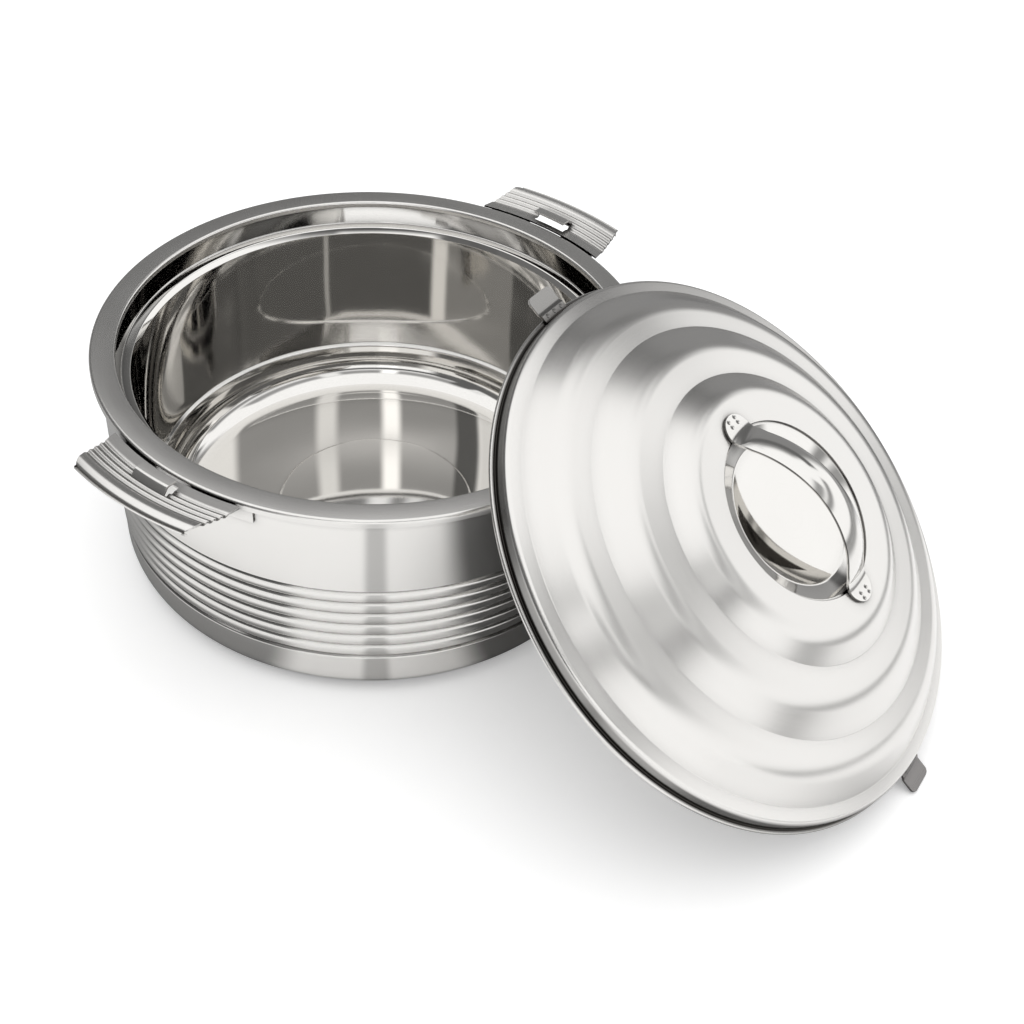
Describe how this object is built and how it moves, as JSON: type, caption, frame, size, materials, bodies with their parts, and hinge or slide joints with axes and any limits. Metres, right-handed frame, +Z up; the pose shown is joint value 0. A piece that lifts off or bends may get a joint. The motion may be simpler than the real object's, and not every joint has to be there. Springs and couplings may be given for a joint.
{
  "type": "insulated casserole",
  "caption": "Round double-walled steel casserole with ribbed side, two fluted side handles, and a stepped lift-off lid with an arched strap handle, leaning on the rim",
  "frame": {"origin": "centre of the bowl's flat underside, on the floor", "axes": "+Z up along the bowl's axis; the side handles lie on the Y axis; the lid leans on the rim at the +X side"},
  "size_m": [0.4142, 0.3014, 0.159],
  "materials": {
    "satin_steel": "fine satin brushing",
    "mirror_steel": "polished steel",
    "foam": "rigid foam",
    "plug_plastic": "matt"
  },
  "bodies": {
    "bowl": {"outer_shell": "satin_steel", "inner_bowl": "mirror_steel", "rim_ring": "satin_steel", "bowl_insulation": "foam", "base_plate": "satin_steel", "base_fill_plug": "plug_plastic", "front_handle": "satin_steel", "rear_handle": "satin_steel", "front_handle_bracket": "satin_steel", "rear_handle_bracket": "satin_steel"},
    "lid": {"lid_cover": "satin_steel", "lid_liner": "mirror_steel", "lid_insulation": "foam", "recess_dish": "mirror_steel", "lid_handle": "mirror_steel", "lower_lock_lug": "mirror_steel", "upper_lock_lug": "mirror_steel"}
  },
  "joints": [
    {"name": "lid_lift", "type": "slide", "parent": "bowl", "child": "lid", "axis": [0, 0, 1], "range_m": [0, 0.12]}
  ]
}
